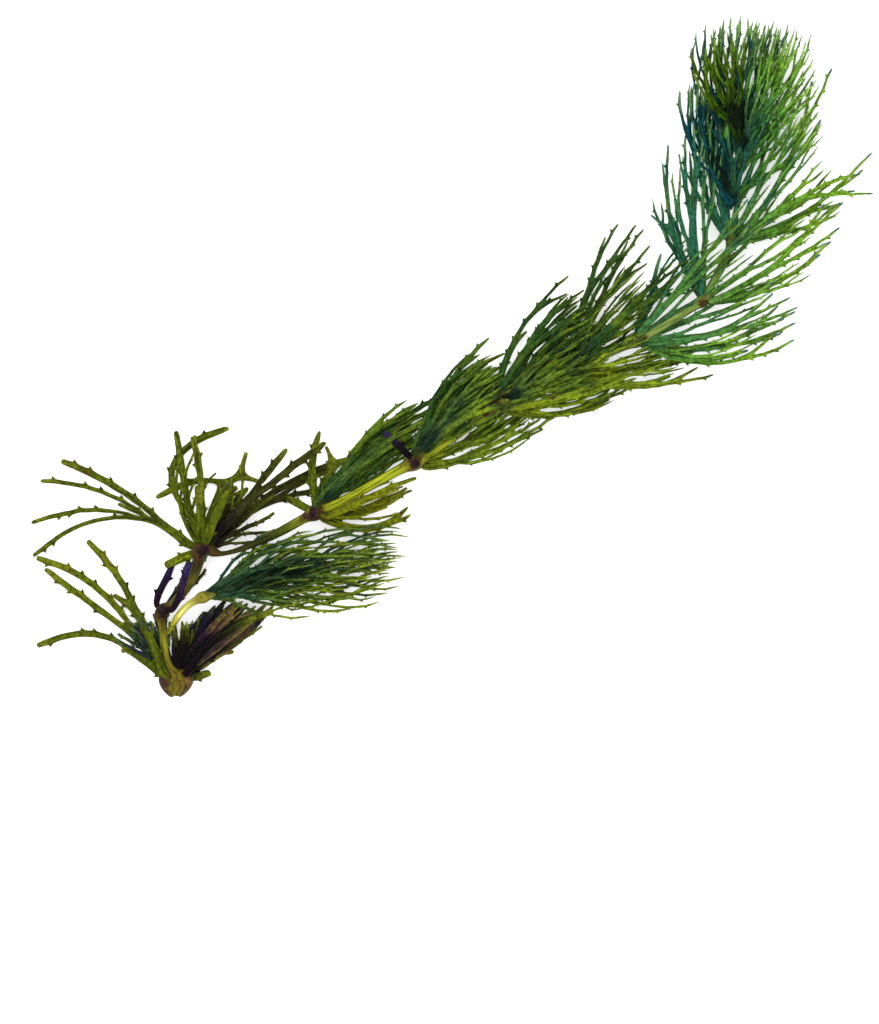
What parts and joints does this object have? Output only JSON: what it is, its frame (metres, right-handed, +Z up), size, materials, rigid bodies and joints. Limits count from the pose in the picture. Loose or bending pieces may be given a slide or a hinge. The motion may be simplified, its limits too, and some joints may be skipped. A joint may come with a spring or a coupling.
{
  "type": "hornwort sprig",
  "caption": "Cut sprig of an aquarium plant lying flat: a jointed stem with whorls of forked, toothed leaves and a dense brush of young leaves at its tip.",
  "frame": {"origin": "middle of the sprig's footprint, on the surface it lies on", "axes": "+Z up from the surface; +X along the sprig's length as laid down, from the cut end towards the tip; +Y across it, towards the tip's side"},
  "size_m": [0.1009, 0.0816, 0.0053],
  "materials": {
    "stem": "moist, smooth plant skin",
    "old_leaf": "moist, toothed leaf, olive to brown",
    "young_leaf": "moist, fine leaf, blue-green to bright green"
  },
  "bodies": {
    "root": {"main_stem": "stem", "side_brush": "young_leaf", "side_stem": "stem", "tip_brush_lower": "young_leaf", "tip_brush_upper": "young_leaf", "whorl10_first_leaf": "young_leaf", "whorl10_fourth_leaf": "young_leaf", "whorl10_second_leaf": "young_leaf", "whorl10_third_leaf": "young_leaf", "whorl1_east_lower_leaf": "old_leaf", "whorl1_east_stub": "old_leaf", "whorl1_east_upper_leaf": "old_leaf", "whorl1_west_lower_leaf": "old_leaf", "whorl1_west_middle_leaf": "old_leaf", "whorl1_west_upper_leaf": "old_leaf", "whorl2_north_east_stub": "old_leaf", "whorl2_north_stub": "old_leaf", "whorl3_broken_leaf": "old_leaf", "whorl3_curled_east_leaf": "old_leaf", "whorl3_curled_middle_leaf": "old_leaf", "whorl3_curled_west_leaf": "old_leaf", "whorl3_east_lower_leaf": "old_leaf", "whorl3_east_upper_leaf": "old_leaf", "whorl3_stub": "old_leaf", "whorl3_torn_leaf": "old_leaf", "whorl3_west_leaf": "old_leaf", "whorl4_fifth_leaf": "old_leaf", "whorl4_first_leaf": "old_leaf", "whorl4_fourth_leaf": "old_leaf", "whorl4_north_east_leaf": "old_leaf", "whorl4_north_leaf": "old_leaf", "whorl4_second_leaf": "old_leaf", "whorl4_south_east_leaf": "old_leaf", "whorl4_stub": "old_leaf", "whorl4_third_leaf": "old_leaf", "whorl5_fifth_leaf": "old_leaf", "whorl5_first_leaf": "old_leaf", "whorl5_fourth_leaf": "old_leaf", "whorl5_second_leaf": "old_leaf", "whorl5_stub": "old_leaf", "whorl5_third_leaf": "old_leaf", "whorl6_fifth_leaf": "old_leaf", "whorl6_first_leaf": "old_leaf", "whorl6_fourth_leaf": "old_leaf", "whorl6_second_leaf": "old_leaf", "whorl6_third_leaf": "old_leaf", "whorl7_fifth_leaf": "young_leaf", "whorl7_first_leaf": "young_leaf", "whorl7_fourth_leaf": "young_leaf", "whorl7_second_leaf": "young_leaf", "whorl7_third_leaf": "young_leaf", "whorl8_fifth_leaf": "young_leaf", "whorl8_first_leaf": "young_leaf", "whorl8_fourth_leaf": "young_leaf", "whorl8_second_leaf": "young_leaf", "whorl8_third_leaf": "young_leaf", "whorl9_first_leaf": "young_leaf", "whorl9_fourth_leaf": "young_leaf", "whorl9_second_leaf": "young_leaf", "whorl9_third_leaf": "young_leaf"}
  },
  "joints": []
}
